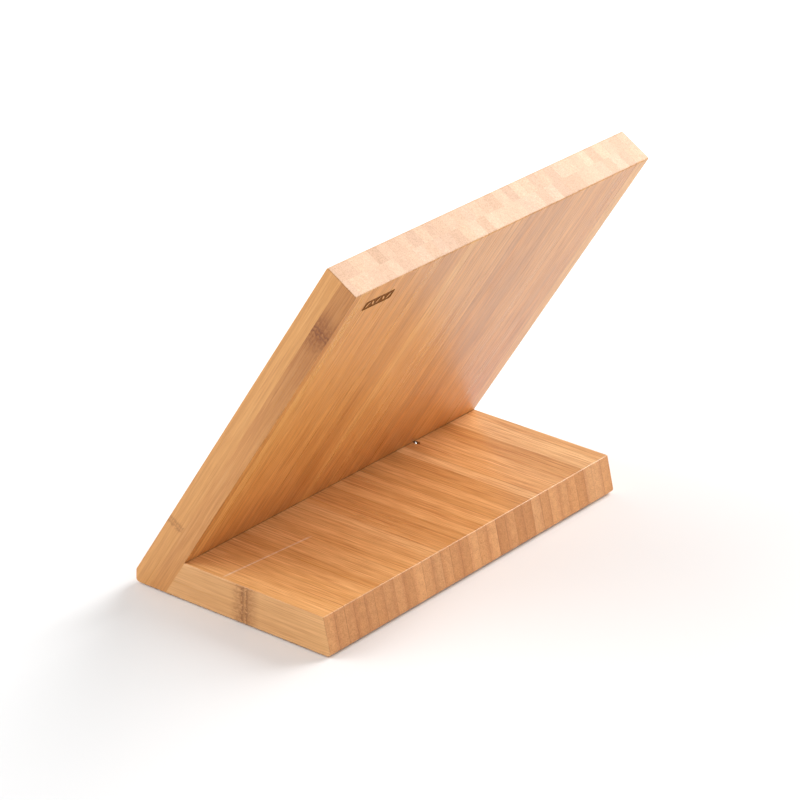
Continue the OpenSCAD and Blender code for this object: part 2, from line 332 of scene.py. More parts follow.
def panel_tree():
    """A panel pressed from strips: the side view's ring is carried across the block, with a fine glue line
    sunk between neighbouring strips and its side edges sanded round. Each strip's place and luck are
    stored on its faces."""
    tree, given = new_tree("Pressed strip panel", "Panel", (
        ("Side view", "Geometry", None),
        ("Width", "Float", 0.24),
        ("Strip width", "Float", 0.0075),
        ("Strip jitter", "Float", 0.0004),
        ("Stagger", "Float", 0.0),
        ("Side radius", "Float", 0.0008),
        ("Side steps", "Int", 6),
        ("Sanded off", "Float", 0.00001),
        ("Glue line depth", "Float", 0.00005),
        ("Glue line width", "Float", 0.0003),
        ("Seed", "Int", 1),
        ("Outer strip", "Vector", (0.5, 0.5, 0.5)),
        ("Finish", "Material", None),
    ))
    node = partial(add_node, tree)
    ring, radius, steps = given["Side view"], given["Side radius"], given["Side steps"]
    half = node("MULTIPLY", (given["Width"], 0.5))
    strips = node("ROUND", (node("DIVIDE", (given["Width"], given["Strip width"])),))
    pitch = node("DIVIDE", (given["Width"], strips))
    last_strip = node("SUBTRACT", (strips, 1.0))
    # Two rounded sides of steps + 1 stations each, and three stations at each glue line
    sides = node("MULTIPLY_ADD", (steps, 2.0, -1.0))
    stations = node("MULTIPLY_ADD", (strips, 3.0, sides))

    def glue_line(number):
        """The place across the panel of glue line number: 0 and strips are the panel's own sides."""
        before_last = node("LESS_THAN", (number, node("SUBTRACT", (strips, 0.5))))
        inside = node("MULTIPLY", (node("GREATER_THAN", (number, 0.5)), before_last))
        luck = node("FunctionNodeRandomValue", {"ID": number, "Seed": given["Seed"], 2: -1.0, 3: 1.0},
                    data_type="FLOAT").outputs[1]
        stagger = node("MULTIPLY", (pitch, given["Stagger"]))
        shift = node("MULTIPLY", (node("MULTIPLY_ADD", (luck, given["Strip jitter"], stagger)), inside))
        even = node("SUBTRACT", (node("MULTIPLY", (number, pitch)), half))
        return node("ADD", (even, shift))

    ring_size = node("GeometryNodeAttributeDomainSize", (ring,)).outputs[0]
    stride = node("FunctionNodeIntegerMath", (ring_size, 1), operation="ADD")
    index = node("GeometryNodeInputIndex")
    station = node("FunctionNodeIntegerMath", (index, stride), operation="DIVIDE_FLOOR")
    around = node("FunctionNodeIntegerMath", (index, stride), operation="MODULO")
    around = node("FunctionNodeIntegerMath", (around, ring_size), operation="MODULO")
    last = node("SUBTRACT", (stations, 1.0))

    # The rounded sides: a quarter circle in `steps` steps from each end
    from_end = node("MINIMUM", (station, node("SUBTRACT", (last, station))))
    turn = node("MINIMUM", (node("DIVIDE", (from_end, steps)), 1.0))
    turn = node("MULTIPLY", (turn, math.pi / 2))
    side = node("SIGN", (node("SUBTRACT", (station, node("MULTIPLY", (last, 0.5)))),))
    back = node("MULTIPLY", (radius, node("SUBTRACT", (1.0, node("COSINE", (turn,))))))
    side_x = node("MULTIPLY", (side, node("SUBTRACT", (half, back))))
    side_inset = node("MULTIPLY", (radius, node("SUBTRACT", (1.0, node("SINE", (turn,))))))
    # Between them: before, at and after each glue line
    inner = node("SUBTRACT", (node("SUBTRACT", (station, steps)), 1.0))
    line = node("ADD", (node("FLOOR", (node("DIVIDE", (inner, 3.0)),)), 1.0))
    phase = node("SUBTRACT", (node("FLOORED_MODULO", (inner, 3.0)), 1.0))
    reach = node("MULTIPLY", (given["Glue line width"], 0.5))
    line_x = node("MULTIPLY_ADD", (phase, reach, glue_line(line)))
    at_line = node("LESS_THAN", (node("ABSOLUTE", (phase,)), 0.5))
    line_inset = node("MULTIPLY", (given["Glue line depth"], at_line))
    on_side = node("LESS_THAN", (from_end, node("ADD", (steps, 0.5))))
    place_x = node("mix", {0: on_side, 2: line_x, 3: side_x})
    inset = node("mix", {0: on_side, 2: line_inset, 3: side_inset})
    inset = node("MAXIMUM", (inset, given["Sanded off"]))

    inset_way = node("GeometryNodeInputNamedAttribute", ("inset_way",), data_type="FLOAT_VECTOR")
    corner = node("GeometryNodeInputNamedAttribute", ("corner",), data_type="FLOAT")
    ring_place, ring_way, ring_corner = [
        node("GeometryNodeSampleIndex", {"Geometry": ring, "Value": field, "Index": around},
             data_type=kind, domain="POINT")
        for field, kind in ((node("GeometryNodeInputPosition"), "FLOAT_VECTOR"),
                            (inset_way, "FLOAT_VECTOR"), (corner, "FLOAT"))
    ]
    moved = node("vector", (ring_way, node("join", (inset, inset, inset)), ring_place),
                 operation="MULTIPLY_ADD")
    flat = node("split", (moved,)).outputs
    place = node("join", (place_x, flat[0], flat[1]))
    skin = node("GeometryNodeMeshGrid", {"Vertices X": stations, "Vertices Y": stride})
    skin = node("GeometryNodeSetPosition", {"Geometry": skin, "Position": place})
    # The edge share stored below makes the rounded edges paler in the finish: partly real sanded wear,
    # partly a painted highlight.
    length = node("vector", (ring_way,), operation="LENGTH").outputs["Value"]
    exposed = node("MINIMUM", (length, 1.0))
    side_wear_and_highlight = node("MULTIPLY", (node("SINE", (node("MULTIPLY", (turn, 2.0)),)), exposed))
    wear_and_highlight = node("MAXIMUM", (side_wear_and_highlight, ring_corner))
    skin = node("GeometryNodeStoreNamedAttribute", {"Geometry": skin, "Name": "edge_wear", "Value": wear_and_highlight},
                data_type="FLOAT", domain="POINT")

    face_station = node("GeometryNodeFieldOnDomain", (node("ADD", (station, 0.0)),), data_type="FLOAT",
                        domain="POINT")
    face_station = node("FLOOR", (face_station,))
    strip = node("DIVIDE", (node("ADD", (node("SUBTRACT", (face_station, steps)), 1.0)), 3.0))
    strip = node("MAXIMUM", (node("MINIMUM", (node("FLOOR", (strip,)), last_strip)), 0.0))

    def store_strip(geometry, strip):
        """Stores a strip's low side, its width and three random numbers of its own on the faces."""
        low = glue_line(strip)
        wide = node("SUBTRACT", (glue_line(node("ADD", (strip, 1.0))), low))
        luck = node("FunctionNodeRandomValue", {
            "ID": strip, "Seed": node("FunctionNodeIntegerMath", (given["Seed"], 77), operation="ADD")},
            data_type="FLOAT_VECTOR")
        is_outer = node("GREATER_THAN", (strip, node("SUBTRACT", (last_strip, 0.5))))
        luck = node("mix", {0: is_outer, 4: luck, 5: given["Outer strip"]}, data_type="VECTOR").outputs[1]
        for name, value in (("strip_span", node("join", (low, wide))), ("strip_luck", luck)):
            geometry = node("GeometryNodeStoreNamedAttribute",
                            {"Geometry": geometry, "Name": name, "Value": value},
                            data_type="FLOAT_VECTOR", domain="FACE")
        return geometry

    rim_way = node("vector", {0: inset_way, 3: radius}, operation="SCALE")
    rim = node("GeometryNodeSetPosition", {"Geometry": ring, "Offset": rim_way})
    cap = node("GeometryNodeFillCurve", (node("GeometryNodeMeshToCurve", (rim,)),))
    rim_place = node("split", (node("GeometryNodeInputPosition"),)).outputs
    joined = tree.nodes.new("GeometryNodeJoinGeometry")
    tree.links.new(store_strip(skin, strip).outputs[0], joined.inputs[0])
    for x, end_strip in ((node("MULTIPLY", (half, -1.0)), 0.0), (half, last_strip)):
        spot = node("join", (x, rim_place[0], rim_place[1]))
        end = node("GeometryNodeSetPosition", {"Geometry": cap, "Position": spot})
        tree.links.new(store_strip(end, node("ADD", (end_strip, 0.0))).outputs[0], joined.inputs[0])
    closed = node("GeometryNodeMergeByDistance", {"Geometry": joined, "Distance": 0.002 * MM})
    real = node("GeometryNodeRealizeInstances", (closed,))
    finished = node("GeometryNodeSetMaterial", {"Geometry": real, "Material": given["Finish"]})
    node("NodeGroupOutput", (finished,))
    return tree


def foot_tree():
    """A silicone foot turned round its middle: a flat top, a rounded edge and concentric grip ribs below."""
    tree, given = new_tree("Ribbed foot", "Foot", (
        ("Place", "Vector", (0.0, 0.0, 0.0)),
        ("Radius", "Float", 0.006),
        ("Height", "Float", 0.002),
        ("Edge radius", "Float", 0.0004),
        ("Ribs", "Int", 4),
        ("Rib depth", "Float", 0.0003),
        ("Finish", "Material", None),
    ))
    node = partial(add_node, tree)
    segments, edge_steps, rib_steps = 64, 6, 8
    radius, edge = given["Radius"], given["Edge radius"]
    ribs = node("MULTIPLY_ADD", (given["Ribs"], float(rib_steps), 0.0))
    rows = node("ADD", (ribs, edge_steps + 2.0))
    index = node("GeometryNodeInputIndex")
    across = node("FunctionNodeIntegerMath", (rows, 0), operation="ADD")
    column = node("FunctionNodeIntegerMath", (index, across), operation="DIVIDE_FLOOR")
    row = node("FunctionNodeIntegerMath", (index, across), operation="MODULO")
    # Row 0 is the top's middle, row 1 its rim, then come the edge and the ribs
    on_edge = node("DIVIDE", (node("SUBTRACT", (row, 1.0)), float(edge_steps)))
    on_edge = node("MULTIPLY", (node("MINIMUM", (node("MAXIMUM", (on_edge, 0.0)), 1.0)), math.pi / 2))
    on_ribs = node("DIVIDE", (node("SUBTRACT", (row, edge_steps + 1.0)), ribs))
    on_ribs = node("MINIMUM", (node("MAXIMUM", (on_ribs, 0.0)), 1.0))
    past_top = node("GREATER_THAN", (row, 0.5))
    pulled = node("MULTIPLY", (edge, node("SUBTRACT", (1.0, node("COSINE", (on_edge,))))))
    out = node("MULTIPLY", (node("SUBTRACT", (radius, pulled)), node("SUBTRACT", (1.0, on_ribs))))
    out = node("MULTIPLY", (out, past_top))
    low = node("MULTIPLY", (edge, node("SUBTRACT", (1.0, node("SINE", (on_edge,))))))
    wave = node("COSINE", (node("MULTIPLY", (node("MULTIPLY", (on_ribs, given["Ribs"])), math.tau)),))
    rib = node("MULTIPLY", (node("MULTIPLY_ADD", (wave, -0.5, 0.5)), given["Rib depth"]))
    on_wall = node("GREATER_THAN", (row, 1.5))
    height = node("mix", {0: on_wall, 2: given["Height"], 3: node("ADD", (low, rib))})
    angle = node("MULTIPLY", (column, math.tau / segments))
    spot = node("join", (node("MULTIPLY", (out, node("COSINE", (angle,)))),
                         node("MULTIPLY", (out, node("SINE", (angle,)))), height))
    spot = node("vector", (spot, given["Place"]), operation="ADD")
    skin = node("GeometryNodeMeshGrid", {"Vertices X": segments + 1, "Vertices Y": rows})
    skin = node("GeometryNodeSetPosition", {"Geometry": skin, "Position": spot})
    closed = node("GeometryNodeMergeByDistance", {"Geometry": skin, "Distance": 0.002 * MM})
    real = node("GeometryNodeRealizeInstances", (closed,))
    finished = node("GeometryNodeSetMaterial", {"Geometry": real, "Material": given["Finish"]})
    node("NodeGroupOutput", (finished,))
    return tree


def pressed_panel(name, tree, strip_width, stagger, seed, outer_strip, finish):
    """One laminated panel in the place and outline of the CAD node of that name. stagger is the share of a
    strip by which its glue lines stand aside. outer_strip is the luck of the strip at the +X side, whose
    flat side shows: its tone, culm joint and packing, 0 to 1 each."""
    ring = outline_ring(split_at_joint(side_outline(name)))
    mesh = bpy.data.meshes.new(name + "_ring")
    count = len(ring)
    mesh.from_pydata([(p.x, p.y, 0) for p, _ in ring], [(i, (i + 1) % count) for i in range(count)], [])
    ways = mesh.attributes.new("inset_way", "FLOAT_VECTOR", "POINT")
    ways.data.foreach_set("vector", np.array([(*way, 0) for way in inset_ways(ring)]).ravel())
    corner = mesh.attributes.new("corner", "FLOAT", "POINT")
    corner.data.foreach_set("value", [share for _, share in ring])
    return run_tree(name + "_panel", mesh, tree, {
        "Width": 2 * HALF_WIDTH,
        "Strip width": strip_width,
        "Strip jitter": STRIP_JITTER,
        "Stagger": stagger,
        "Side radius": SIDE_ROUND,
        "Side steps": SIDE_STEPS,
        "Sanded off": SANDED_OFF,
        "Glue line depth": GLUE_LINE_DEPTH,
        "Glue line width": GLUE_LINE_WIDTH,
        "Seed": seed,
        "Outer strip": outer_strip,
        "Finish": finish,
    })


def cut_away(piece, cutters):
    """Cuts the closed shapes out of the piece and removes them."""
    for cutter in cutters:
        cut = piece.modifiers.new("Cut", "BOOLEAN")
        cut.object = cutter
        cut.operation = "DIFFERENCE"
        cut.solver = "EXACT"
        cut.material_mode = "TRANSFER"
    mesh = evaluated_mesh(piece)
    piece.modifiers.clear()
    piece.data = mesh
    for cutter in cutters:
        bpy.data.objects.remove(cutter)


def round_cutter(place, direction, radius, length, material):
    """A round cutting tool from a point, along a direction."""
    tool = bmesh.new()
    turn = Vector(direction).normalized().to_track_quat("Z", "Y").to_matrix().to_4x4()
    middle = Matrix.Translation(Vector(place) + Vector(direction).normalized() * length / 2)
    bmesh.ops.create_cone(tool, cap_ends=True, segments=ROUND_CUT_SIDES, radius1=radius,
                          radius2=radius, depth=length, matrix=middle @ turn)
    mesh = bpy.data.meshes.new("cutter")
    tool.to_mesh(mesh)
    tool.free()
    return new_object("cutter", mesh, material)


def hollow_cutter(node, material):
    """One cutting shape for the slots, bores and recesses of a CAD panel, but not for its laser mark:
    the walls of its hollows, carried out past their mouths and closed."""
    edges = side_edges(node)
    middle = sum((a for a, _ in edges), Vector((0, 0))) / len(edges)

    def nearest_edge(place):
        """How far a place is from the side view's outline, and which way is out there."""
        spot = Vector(place.yz)
        gaps = []
        for a, b in edges:
            along = b - a
            share = min(max((spot - a).dot(along) / along.length_squared, 0), 1)
            gaps.append((spot - a.lerp(b, share)).length)
        a, b = edges[gaps.index(min(gaps))]
        out = (b - a).orthogonal().normalized()
        if out.dot(a - middle) < 0:
            out.negate()
        return min(gaps), Vector((0, *out))

    walls = bmesh.new()
    walls.from_mesh(frame["nodes"][node].data)
    bmesh.ops.remove_doubles(walls, verts=walls.verts, dist=WELD)
    outer = []
    for face in walls.faces:
        place = face.calc_center_median()
        at_side = HALF_WIDTH - abs(place.x) < NEAR
        marked = TOP_END - place.dot(UP) < MARK_ZONE
        if at_side or marked or nearest_edge(place)[0] < NEAR:
            outer.append(face)
    bmesh.ops.delete(walls, geom=outer, context="FACES")
    mouths = [edge for edge in walls.edges if edge.is_boundary]
    while mouths:
        rim, waiting = [], [mouths[0]]
        while waiting:
            edge = waiting.pop()
            if edge in mouths:
                mouths.remove(edge)
                rim.append(edge)
                waiting += [e for v in edge.verts for e in v.link_edges if e in mouths]
        corners = {v for edge in rim for v in edge.verts}
        centre = sum((v.co for v in corners), Vector()) / len(corners)
        grown = bmesh.ops.extrude_edge_only(walls, edges=rim)["geom"]
        moved = [v for v in grown if isinstance(v, bmesh.types.BMVert)]
        bmesh.ops.translate(walls, verts=moved, vec=nearest_edge(centre)[1] * MOUTH)
        lip = [e for e in grown if isinstance(e, bmesh.types.BMEdge) and all(v in moved for v in e.verts)]
        bmesh.ops.holes_fill(walls, edges=lip, sides=0)
    bmesh.ops.recalc_face_normals(walls, faces=walls.faces)
    mesh = bpy.data.meshes.new("hollows")
    walls.to_mesh(mesh)
    walls.free()
    mesh.materials.clear()
    return new_object("hollows", mesh, material)


def turned(name, profile, place, direction, material):
    """A closed shape turned round an axis: profile gives radius and place along the axis, head first."""
    shape = bmesh.new()
    rim = [shape.verts.new((radius, 0, along)) for radius, along in profile]
    edges = [shape.edges.new(pair) for pair in zip(rim, rim[1:])]
    bmesh.ops.spin(shape, geom=rim + edges, cent=(0, 0, 0), axis=(0, 0, 1), angle=math.tau,
                   steps=TURNED_SIDES, use_merge=True)
    bmesh.ops.remove_doubles(shape, verts=shape.verts, dist=WELD)
    bmesh.ops.recalc_face_normals(shape, faces=shape.faces)
    turn = Vector(direction).to_track_quat("Z", "Y").to_matrix().to_4x4()
    shape.transform(Matrix.Translation(place) @ turn)
    mesh = bpy.data.meshes.new(name)
    shape.to_mesh(mesh)
    shape.free()
    return new_object(name, mesh, material)


def mark_cutter(material):
    """The laser mark's shape, lifted off the sunk floor that the rear ply has under its rear face."""
    source = bmesh.new()
    source.from_mesh(frame["nodes"]["rear_ply"].data)
    bmesh.ops.remove_doubles(source, verts=source.verts, dist=WELD)
    sunk = []
    for face in source.faces:
        middle = face.calc_center_median()
        depth = REAR_DEPTH - middle.dot(THROUGH)
        near_top = TOP_END - middle.dot(UP) < MARK_ZONE
        if near_top and 0.1 * MM < depth < 1 * MM and abs(face.normal.dot(THROUGH)) > 0.99:
            sunk.append(face)
    rest = [face for face in source.faces if face not in set(sunk)]
    bmesh.ops.delete(source, geom=rest, context="FACES")
    grown = bmesh.ops.extrude_face_region(source, geom=source.faces[:] + source.edges[:])
    lifted = [v for v in grown["geom"] if isinstance(v, bmesh.types.BMVert)]
    bmesh.ops.translate(source, verts=lifted, vec=THROUGH * MARK_LIFT)
    bmesh.ops.recalc_face_normals(source, faces=source.faces)
    mesh = bpy.data.meshes.new("mark")
    source.to_mesh(mesh)
    source.free()
    mesh.materials.clear()
    return new_object("mark", mesh, material)


def finish_edges(piece):
    """Shades curved stretches smooth, keeps flats flat and glue lines crisp."""
    piece.data.shade_smooth()
    piece.data.set_sharp_from_angle(angle=CREASE)
    weigh = piece.modifiers.new("Weigh", "WEIGHTED_NORMAL")
    weigh.keep_sharp = True
    weigh.weight = 80
    mesh = evaluated_mesh(piece)
    piece.modifiers.clear()
    piece.data = mesh


# ---------------------------------------------------------------- materials


def new_material(name):
    material = bpy.data.materials.new(name)
    material.use_nodes = True
    tree = material.node_tree
    tree.nodes.clear()
    shader = add_node(tree, "ShaderNodeBsdfPrincipled")
    add_node(tree, "ShaderNodeOutputMaterial", (shader,))
    return material, partial(add_node, tree), shader.inputs


def feed(sockets, **sources):
    """Links nodes or outputs into the shader's sockets, or sets numbers on them."""
    for name, source in sources.items():
        socket = sockets[name.replace("_", " ").title().replace("Ior", "IOR")]
        if isinstance(source, bpy.types.Node):
            source = source.outputs[0]
        if isinstance(source, bpy.types.NodeSocket):
            socket.id_data.links.new(source, socket)
        else:
            socket.default_value = source


def side_pressed_bamboo(name, lean, start, seam_at, seam_side, tones, end_tone_and_highlight, end_glue, streaks,
                        rubbed):
    """Natural side-pressed bamboo, sanded and satin lacquered.

    Each strip has its own honey tone. Fibre bundles run the whole length of the grain, so they show as
    streaks on the faces and as specks on the end grain, denser towards one side of each strip, where the
    culm's skin was. Brown culm joints cross some strips, glue lines are thin and dark, and sanded edges
    are paler, partly from real wear and partly as a painted highlight along the rounded edges. The end
    grain has a colour of its own, painted pale on the board's top end as a highlight. The lacquer gives a
    broad soft sheen. Local axes: X across the strips, Y along the grain from start, Z through the panel.
    seam_at is the place along the grain where another panel is joined on, and rubbed how strongly a pale
    rub shows behind it.
    """
    material, node, surface = new_material(name)
    coordinates = node("ShaderNodeTexCoord").outputs
    local = node("ShaderNodeMapping", {"Vector": coordinates["Object"], "Location": (0, -start, 0),
                                       "Rotation": (-lean, 0, 0)})
    facing = node("ShaderNodeMapping", {"Vector": coordinates["Normal"], "Rotation": (-lean, 0, 0)})
    facing = node("split", (facing,)).outputs
    flat_side = node("fade", (node("ABSOLUTE", (facing[0],)), 0.6, 0.9))  # where strips show their flat side
    end_grain = node("fade", (node("ABSOLUTE", (facing[1],)), 0.6, 0.9))
    axes = node("split", (local,)).outputs
    luck = node("split", (node("stored", attribute_name="strip_luck").outputs["Vector"],)).outputs
    span = node("split", (node("stored", attribute_name="strip_span").outputs["Vector"],)).outputs
    across = node("DIVIDE", (node("SUBTRACT", (axes[0], span[0])), span[1]))
    own = node("vector", {0: node("join", (luck[2], luck[0], luck[1])), 3: 40.0}, operation="SCALE")

    def grain(width_mm, length_mm, seed, detail=2.0):
        """Noise stretched along the grain: its features are width_mm across and length_mm along."""
        squeeze = (1 / (width_mm * MM), 1 / (length_mm * MM), 1 / (width_mm * MM))
        squeezed = node("vector", (local, squeeze, own), operation="MULTIPLY_ADD")
        return node("noise", {"Vector": squeezed, "W": float(seed), "Scale": 1.0, "Detail": detail,
                              "Roughness": 0.55, "Distortion": 0.25})

    fine = grain(0.6, 16, 1)  # drawn twice as coarse as real fibres, so that it shows
    streak = grain(0.8, 42, 2)
    broad = grain(2.6, 170, 3, 3.0)
    mottle = grain(1.5, 2.3, 4)

    # Strip tone, from straw to toasted honey, and the fibres' own tone
    tone = set_ramp(node("ShaderNodeValToRGB", (luck[0],)), tones)
    fibres = node("fade", (fine, 0.3, 0.7, 1.0 - 0.32 * streaks, 1.0 + 0.24 * streaks))
    fibres = node("mix", {0: node("MULTIPLY", (flat_side, 0.55)), 2: fibres, 3: 1.0})
    gain = node("MULTIPLY", (node("fade", (broad, 0.32, 0.68, 0.93, 1.06)), fibres))
    end_luck = node("MULTIPLY_ADD", (end_grain, 0.16, 0.05))
    end_luck = node("MULTIPLY_ADD", (node("SUBTRACT", (luck[1], 0.5)), end_luck, 1.0))
    gain = node("MULTIPLY", (gain, end_luck))
    # Darker fibres are also redder
    gain = node("ShaderNodeCombineColor", (gain, node("POWER", (gain, 1.4)), node("POWER", (gain, 2.0))))

    # Fibre bundles: packed towards the skin side of each strip
    to_skin = node("ABSOLUTE", (node("SUBTRACT", (across, node("GREATER_THAN", (luck[2], 0.5)))),))
    packed = node("MULTIPLY_ADD", (node("MULTIPLY", (to_skin, to_skin)), 0.07, luck[2]))
    bundles = node("fade", (node("MULTIPLY_ADD", (packed, 0.07, streak)), 0.56, 0.63))
    bundles = node("MULTIPLY", (bundles, node("fade", (broad, 0.38, 0.60, 0.35, 1.0))))
    between = node("fade", (streak, 0.34, 0.45, 1.0, 0.0))  # pale ground tissue between the bundles

    # Culm joints: at its own place on each strip, and hidden inside the panel on many of them
    stem = node("ADD", (node("DIVIDE", (axes[1], CULM_SPACING)), luck[1]))
    off_joint = node("MULTIPLY", (node("SUBTRACT", (node("FRACT", (stem,)), 0.5)), CULM_SPACING))
    off_joint = node("MULTIPLY_ADD", (node("SUBTRACT", (mottle, 0.5)), 5 * MM, off_joint))
    off_joint = node("ABSOLUTE", (off_joint,))
    shows = node("GREATER_THAN", (node("FRACT", (node("MULTIPLY", (luck[0], 7.31)),)), 0.45))
    shows = node("MULTIPLY", (shows, node("MULTIPLY_ADD", (luck[2], 0.7, 0.35))))
    ridges = node("ABSOLUTE", (node("SUBTRACT", (off_joint, 1.3 * MM)),))
    ring = node("MULTIPLY", (node("fade", (ridges, 0.2 * MM, 0.9 * MM, 1.0, 0.0)), shows))
    patch_size = node("MULTIPLY_ADD", (luck[2], 9 * MM, 2 * MM))
    patch_size = node("MULTIPLY", (patch_size, node("MULTIPLY_ADD", (flat_side, 0.5, 1.0))))
    patch = node("fade", (node("DIVIDE", (off_joint, patch_size)), 0.2, 1.0, 1.0, 0.0))
    patch = node("MULTIPLY", (node("MULTIPLY", (patch, shows)),
                              node("fade", (mottle, 0.35, 0.62, 0.45, 1.0))))

    # Glue lines, drawn several times wider than real ones so that they show
    line_gap = node("MULTIPLY", (node("MINIMUM", (across, node("SUBTRACT", (1.0, across)))), span[1]))
    glue = node("fade", (line_gap, 0.08 * MM, 0.42 * MM, 1.0, 0.0))
    glue = node("MULTIPLY", (glue, node("SUBTRACT", (1.0, flat_side))))
    glue_luck = node("POWER", (node("FRACT", (node("MULTIPLY", (luck[2], 3.7)),)), 2.0))
    glue_share = node("mix", {0: end_grain, 2: node("MULTIPLY_ADD", (glue_luck, 0.6, 0.06)),
                              3: node("MULTIPLY", (node("MULTIPLY_ADD", (glue_luck, 0.8, 0.12)), end_glue))})
    skin = node("MULTIPLY", (node("fade", (to_skin, 0.5, 1.0)), node("MULTIPLY", (end_grain, end_glue))))
    specks = node("MULTIPLY", (node("fade", (fine, 0.55, 0.64)), end_grain))
    # A joint's stain runs along the grain of strips cut from just under the skin
    stain = node("fade", (off_joint, 9 * MM, 90 * MM, 1.0, 0.0))
    stain = node("MULTIPLY", (node("MULTIPLY", (stain, flat_side)), node("POWER", (luck[2], 3.0))))
    # The dark line of glue along the joint with the other panel
    at_seam = node("ABSOLUTE", (node("SUBTRACT", (axes[1], seam_at)),))
    seam = node("MULTIPLY", (node("fade", (at_seam, 0.15 * MM, 0.7 * MM, 1.0, 0.0)),
                             node("fade", (node("MULTIPLY", (facing[2], seam_side)), 0.8, 0.95))))

    # The rub: a scuff on top, nearly along the joint, towards the +X side
    rub_line = node("MULTIPLY_ADD", (axes[0], -RUB_SLANT, seam_at + RUB_SETBACK + RUB_SLANT * RUB_SPAN[1]))
    off_line = node("ABSOLUTE", (node("SUBTRACT", (axes[1], rub_line)),))
    rub = node("fade", (off_line, 0.3 * MM, 0.8 * MM, 1.0, 0.0))
    for low, high in (RUB_SPAN[0], RUB_SPAN[0] + 6 * MM), (RUB_SPAN[1] + 2 * MM, RUB_SPAN[1]):
        rub = node("MULTIPLY", (rub, node("fade", (axes[0], low, high))))
    rub = node("MULTIPLY", (rub, node("fade", (facing[2], 0.8, 0.95))))

    # Bundles show less on the strips' flat sides and on the end grain
    calm = node("MULTIPLY_ADD", (flat_side, -0.35, 1.0))
    bundle_share = node("MULTIPLY", (streaks, node("SUBTRACT", (calm, node("MULTIPLY", (end_grain, 0.5))))))
    colour = tone
    for mask, share, code in (
        (node("fade", (to_skin, 0.0, 1.0, 0.0, 0.5)), 0.10, "#e8b878"),
        (bundles, bundle_share, "#a7560f"),
        (between, 0.16, "#f7c88e"),
        (flat_side, 0.24, "#c99b6c"),
        (stain, node("MULTIPLY_ADD", (bundles, 0.3, 0.46)), "#9c5820"),
        (patch, node("MULTIPLY_ADD", (flat_side, 0.66, 0.10)), "#8a4a10"),
        (ring, node("MULTIPLY_ADD", (flat_side, 0.49, 0.05)), "#6c3004"),
        # End grain takes its own colour. The board's pale one is a painted highlight on its top end, and the
        # base's is its own tone.
        (end_grain, 0.6, end_tone_and_highlight),
        (specks, node("MULTIPLY", (end_glue, 0.3)), "#a8622c"),
        (skin, 0.34, "#b4652e"),
        (glue, glue_share, "#8f4818"),
        (rub, node("MULTIPLY", (mottle, rubbed)), "#f8e4cf"),
        (seam, node("MULTIPLY", (mottle, 0.8)), "#6a3a14"),
        # Paler rounded edges: partly real sanded wear, partly a painted highlight along them.
        (node("stored", attribute_name="edge_wear").outputs["Fac"], 0.06, "#f0c794"),
    ):
        amount = node("MULTIPLY", (mask, share))
        colour = node("mix colour", {0: amount, 6: colour, 7: linear(code)}).outputs[2]
    colour = node("mix colour", {0: 1.0, 6: colour, 7: gain}, blend_type="MULTIPLY").outputs[2]

    rough = node("ADD", (node("fade", (broad, 0.3, 0.7, -0.02, 0.04)),
                         node("MULTIPLY_ADD", (bundles, 0.03, 0.29))))
    rough = node("MULTIPLY_ADD", (end_grain, 0.2, rough))
    height = node("SUBTRACT", (fine, node("MULTIPLY", (bundles, 0.5))))
    height = node("SUBTRACT", (height, node("MULTIPLY", (ring, 0.8))))
    bump = node("ShaderNodeBump", {"Height": height, "Distance": 0.02 * MM, "Strength": 0.5})
    feed(surface, base_color=colour, roughness=rough, normal=bump, ior=1.5)
    return material


def laser_charred_bamboo():
    """Bamboo burnt by a marking laser: uneven dark brown char, dull, with fine scan lines."""
    material, node, surface = new_material("laser_charred_bamboo")
    place = node("ShaderNodeTexCoord").outputs["Object"]
    soot = node("noise", {"Vector": place, "Scale": 1 / (0.9 * MM), "Detail": 3.0})
    colour = set_ramp(node("ShaderNodeValToRGB", (soot,)), (
        (0.3, "#6e4019"), (0.55, "#8f5827"), (0.8, "#b07a42")))
    scan = node("ShaderNodeTexWave", {"Vector": place, "Scale": 1 / (2.4 * MM), "Distortion": 0.6},
                bands_direction="Z")
    bump = node("ShaderNodeBump", {"Height": scan.outputs["Fac"], "Distance": 0.04 * MM})
    feed(surface, base_color=colour, normal=bump, roughness=0.85, specular_ior_level=0.15)
    return material


def plated_steel(name, code, dark_code, roughness, grain_mm):
    """Plated or drawn steel: fine lengthwise grain, faint stains, satin shine."""
    material, node, surface = new_material(name)
    place = node("ShaderNodeTexCoord").outputs["Object"]
    squeeze = (1 / (grain_mm * 20 * MM), 1 / (grain_mm * MM), 1 / (grain_mm * MM))
    streak = node("noise", {"Vector": node("vector", (place, squeeze), operation="MULTIPLY"), "Scale": 1.0,
                            "Detail": 3.0})
    stain = node("noise", {"Vector": place, "Scale": 1 / (6 * MM), "Detail": 2.0})
    colour = node("mix colour", {0: stain, 6: linear(dark_code), 7: linear(code)}).outputs[2]
    rough = node("fade", (streak, 0.3, 0.7, roughness - 0.06, roughness + 0.08))
    bump = node("ShaderNodeBump", {"Height": streak, "Distance": 0.01 * MM})
    feed(surface, base_color=colour, roughness=rough, normal=bump, metallic=1.0)
    return material


def turned_beech():
    """Raw turned beech dowel: pale pink-brown with fine dark flecks along the grain."""
    material, node, surface = new_material("turned_beech")
    place = node("ShaderNodeMapping", {"Vector": node("ShaderNodeTexCoord").outputs["Object"],
                                       "Rotation": (-LEAN, 0, 0)})
    squeeze = (1 / (0.3 * MM), 1 / (0.3 * MM), 1 / (3 * MM))
    fleck = node("noise", {"Vector": node("vector", (place, squeeze), operation="MULTIPLY"), "Scale": 1.0})
    colour = set_ramp(node("ShaderNodeValToRGB", (fleck,)), (
        (0.25, "#a97f56"), (0.45, "#cda57a"), (0.7, "#dcb88f")))
    rough = node("fade", (fleck, 0.3, 0.7, 0.7, 0.58))
    bump = node("ShaderNodeBump", {"Height": fleck, "Distance": 0.03 * MM})
    feed(surface, base_color=colour, roughness=rough, normal=bump)
    return material


